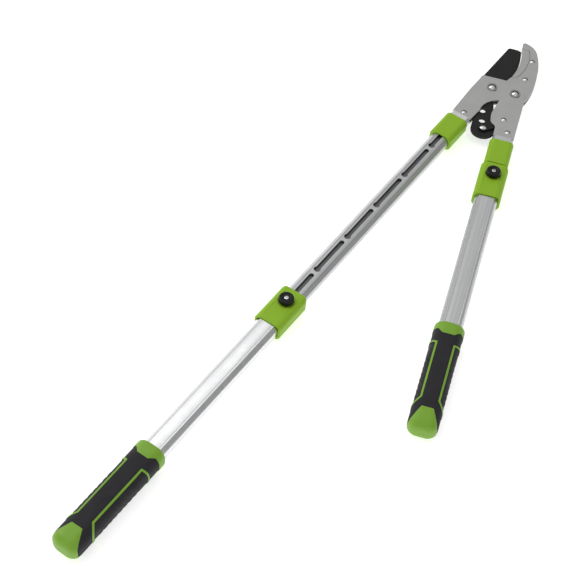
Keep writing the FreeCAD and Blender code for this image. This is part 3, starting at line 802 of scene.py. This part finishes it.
# %% [markdown]
# ## Drawn tubes
# The tubes are eight-sided extrusions with a fine groove beside each edge of the wide flats. The
# outer tube is drawn from a box: its long edges are bevelled, the flats are cut beside their
# edges, and the narrow strips are pushed in. The sliding tube has slots that CAD has already cut,
# so a merged copy of the CAD piece gets the same grooves. A thin web under each slotted wall
# closes the slots from below, which is why they look grey and not black. The web's dark tone is
# painted shade, standing in for the shade on the slot floors.

# %% Grooves
GROOVE_DEPTH = 0.3 * MM


def groove_flats(tube, half_depth, inboard, width):
    """Sinks a narrow strip into the top and bottom flats, on both sides."""

    def on_flat(face):
        return at(abs(face.calc_center_median().z), half_depth, 2e-5)

    def is_strip(face):
        across = abs(face.calc_center_median().x)
        return on_flat(face) and inboard - width < across < inboard

    for way in (-1, 1):
        for x in (inboard, inboard - width):
            cut(tube, (way * x, 0, 0), (1, 0, 0), on_flat)
    choose(tube, "FACE", is_strip)
    bpy.ops.mesh.inset(thickness=width / 4, depth=-GROOVE_DEPTH)


# %% Outer tube
TUBE_BEVEL, TUBE_SOFT, TUBE_WALL = 5 * MM, 0.35 * MM, 1.5 * MM
OUTER_INSET, OUTER_GROOVE = 6.6 * MM, 1.0 * MM


def is_corner(edge):
    return runs_along_arm(edge) and edge.calc_face_angle(0) > math.radians(30)


def make_outer_tube():
    low, high = spans("outer_tube_right", "right")
    tube = start_box("outer_tube", low, high)
    active(tube)
    bpy.ops.object.mode_set(mode="EDIT")
    choose(tube, "EDGE", runs_along_arm)
    bpy.ops.mesh.bevel(offset=TUBE_BEVEL, segments=1, affect="EDGES")
    groove_flats(tube, high.z, high.x - OUTER_INSET, OUTER_GROOVE)
    choose(tube, "EDGE", is_corner)
    bpy.ops.mesh.bevel(offset=TUBE_SOFT, segments=2, affect="EDGES")
    choose(tube, "FACE", lambda f: abs(f.normal.y) > 0.9)
    bpy.ops.mesh.delete(type="FACE")
    bpy.ops.object.mode_set(mode="OBJECT")
    apply_modifier(tube, "SOLIDIFY", thickness=TUBE_WALL, offset=-1.0)
    smooth(tube, 25)
    put_on_both(tube, "outer_tube", "aluminium", "aluminium", "outer_tube")


make_outer_tube()


# %% A merged copy of a CAD piece
MERGE_WITHIN, FLAT_WITHIN, SHARP_FROM = 2e-6, math.radians(0.5), math.radians(38)


def merged_copy(node, name, matrix=None):
    piece = frame["nodes"][node].copy()
    piece.data = piece.data.copy()
    piece.name = name
    for key in list(piece.keys()):
        del piece[key]
    piece.parent = None
    bpy.context.scene.collection.objects.link(piece)
    if matrix is not None:
        piece.data.transform(matrix)
    active(piece)
    bpy.ops.mesh.customdata_custom_splitnormals_clear()
    bpy.ops.object.mode_set(mode="EDIT")
    bpy.ops.mesh.select_all(action="SELECT")
    bpy.ops.mesh.remove_doubles(threshold=MERGE_WITHIN)
    bpy.ops.mesh.dissolve_limited(angle_limit=FLAT_WITHIN)
    bpy.ops.object.mode_set(mode="OBJECT")
    return piece


def round_edges(piece, width, segments=2):
    """Bevels the sharp edges. The flats keep their own normals, so a flat sheet shades as flat."""
    apply_modifier(
        piece, "BEVEL", width=width, segments=segments, limit_method="ANGLE",
        angle_limit=SHARP_FROM, use_clamp_overlap=False,
    )
    smooth(piece, 30)
    apply_modifier(piece, "WEIGHTED_NORMAL", mode="FACE_AREA", weight=100, keep_sharp=True)


# %% Sliding tube
INNER_INSET, INNER_GROOVE = 6.0 * MM, 0.9 * MM
ARM_BACK = arm_matrix("right").inverted()
INNER_LOW, INNER_HIGH = spans("inner_tube_right", "right")
inner = merged_copy("inner_tube_right", "inner_tube", ARM_BACK)
active(inner)
bpy.ops.object.mode_set(mode="EDIT")
groove_flats(inner, INNER_HIGH.z, INNER_HIGH.x - INNER_INSET, INNER_GROOVE)
bpy.ops.object.mode_set(mode="OBJECT")
smooth(inner, 25)
put_on_both(inner, "inner_tube", "aluminium", "aluminium_inner", "inner_tube")


# %% The webs under the slots
WEB_BELOW, WEB_THICK, WEB_HALF = 3.5 * MM, 0.2 * MM, 4.6 * MM
WEB_FOOT_GAP, WEB_TOP_GAP = 2 * MM, 4 * MM


def make_webs():
    """A web under each slotted wall, clear of the arm's tail and of the lock pin; its dark tone is painted shade.
    """
    level = INNER_HIGH.z - WEB_BELOW
    foot, top = INNER_LOW.y + WEB_FOOT_GAP, INNER_HIGH.y - WEB_TOP_GAP
    for name, low_z in (("slot_web_front", level - WEB_THICK), ("slot_web_back", -level)):
        low, high = Vector((-WEB_HALF, foot, low_z)), Vector((WEB_HALF, top, low_z + WEB_THICK))
        web = start_box(name, low, high)
        for side in ("left", "right"):
            put_on_arm(web, "inner_tube", side, FINISH["web"])
        bpy.data.objects.remove(web)
    print("webs under the slots on both arms")


make_webs()


# %% Sleeve, collar and clamp
for part, soft, slot_name, finish in (
    ("head_sleeve", 0.8 * MM, "green", FINISH["green"]),
    ("clamp", 0.8 * MM, "green", FINISH["green"]),
    ("collar", 0.4 * MM, "aluminium", "aluminium"),
):
    moulding = merged_copy(f"{part}_right", part, ARM_BACK)
    round_edges(moulding, soft, segments=3)
    put_on_both(moulding, part, slot_name, finish, part)


# %% [markdown]
# ## Lock knobs
# A gloss black knob with a dished face, fine finger grooves round its rim and a small cross-head
# screw in the middle. Both parts start as discs. The dish is three insets, and the grooves are
# side faces sunk about every twelve degrees.

# %% Knob
KNOB_SIDES, KNOB_TOP_ROUND, KNOB_FOOT_ROUND = 90, 1.2 * MM, 1.4 * MM
FINGER_STEP, FINGER_RIM, FINGER_DEPTH = math.radians(12), 0.1 * MM, 0.45 * MM
DISH = ((1.3 * MM, 0), (1.0 * MM, -0.7 * MM), (2.0 * MM, -0.1 * MM))


def rim_at(z):
    """A test for the edges that lie at one height."""
    return lambda edge: at(edge.verts[0].co.z, z) and at(edge.verts[1].co.z, z)


def make_knob():
    low, high = spans("lock_knob_right", "right")
    knob = start_disc("lock_knob", high.x, low.z, high.z, KNOB_SIDES)
    active(knob)
    bpy.ops.object.mode_set(mode="EDIT")
    choose(knob, "EDGE", rim_at(high.z))
    bpy.ops.mesh.bevel(offset=KNOB_TOP_ROUND, segments=4, affect="EDGES")
    choose(knob, "EDGE", rim_at(low.z))
    bpy.ops.mesh.bevel(offset=KNOB_FOOT_ROUND, segments=3, affect="EDGES")

    def is_groove(face):
        spot = face.calc_center_median()
        on_side = abs(face.normal.z) < 0.1 and spot.xy.length > high.x * 0.97
        return on_side and math.atan2(spot.y, spot.x) % FINGER_STEP < FINGER_STEP / 3

    choose(knob, "FACE", is_groove)
    bpy.ops.mesh.inset(thickness=FINGER_RIM, depth=-FINGER_DEPTH, use_individual=True)
    choose(knob, "FACE", lambda f: f.normal.z > 0.99 and f.calc_center_median().xy.length < MM)
    for thickness, depth in DISH:
        bpy.ops.mesh.inset(thickness=thickness, depth=depth)
    bpy.ops.object.mode_set(mode="OBJECT")
    smooth(knob, 30)
    put_on_both(knob, "lock_knob", "knob", FINISH["knob"], "lock_knob")


make_knob()


# %% Screw
SCREW_SIDES, SCREW_HIGH, SCREW_ROUND = 48, 1.6 * MM, 0.7 * MM
CROSS_ARM, CROSS_HALF, CROSS_DEPTH = 1.5 * MM, 0.35 * MM, 0.9 * MM


def make_screw():
    high = spans("knob_screw_right", "right")[1]
    screw = start_disc("knob_screw", high.x, high.z - SCREW_HIGH, high.z, SCREW_SIDES)
    active(screw)
    bpy.ops.object.mode_set(mode="EDIT")
    choose(screw, "EDGE", rim_at(high.z))
    bpy.ops.mesh.bevel(offset=SCREW_ROUND, segments=4, affect="EDGES")
    bpy.ops.object.mode_set(mode="OBJECT")
    for reach in ((CROSS_ARM, CROSS_HALF), (CROSS_HALF, CROSS_ARM)):
        corner = Vector((*reach, 0))
        floor = Vector((0, 0, high.z - CROSS_DEPTH))
        slot = start_box("recess", floor - corner, Vector((0, 0, high.z + MM)) + corner)
        apply_modifier(screw, "BOOLEAN", operation="DIFFERENCE", object=slot, solver="EXACT")
        bpy.data.objects.remove(slot)
    smooth(screw, 30)
    put_on_both(screw, "knob_screw", "polished", FINISH["polished"], "knob_screw")


make_screw()


# %% [markdown]
# ## Stamped head
# The plates, the blade, the links and the cores are flat pieces. Their outlines are right in CAD,
# but its edges are perfectly sharp, and real stampings are tumbled until their edges catch the
# light. A merged copy of each gets a small bevel. The anvil's walls are drawn in a little as
# well, so a thin dark line shows where it meets its plates.

# %% Drawing in the walls of a flat piece
def draw_in_walls(piece, amount):
    active(piece)
    bpy.ops.object.mode_set(mode="EDIT")
    choose(piece, "FACE", lambda f: abs(f.normal.z) < 0.1)
    bpy.ops.transform.shrink_fatten(value=-amount, use_even_offset=True)
    bpy.ops.object.mode_set(mode="OBJECT")


# %% Soft edges on the stampings, in millimetres
INSERT_SHRINK = 0.4 * MM
STAMPINGS = {
    "anvil_plate_front": 0.3, "anvil_plate_back": 0.3,
    "lever_plate_front": 0.3, "lever_plate_back": 0.3,
    "anvil_insert": 0.25, "blade": 0.3,
    "link_front": 0.3, "link_back": 0.3,
    "anvil_arm_core": 0.3, "lever_arm_core": 0.3,
}
for node, soft in STAMPINGS.items():
    stamping = merged_copy(node, f"{node}_stamping")
    if node == "anvil_insert":
        draw_in_walls(stamping, INSERT_SHRINK)
    round_edges(stamping, soft * MM)
    stamping.data.materials.clear()
    stamping.data.materials.append(finish_for(node, slots[node]))
    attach(stamping, body_with(node))
    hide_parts(node)
    print(stamping.name, len(stamping.data.polygons), "faces")
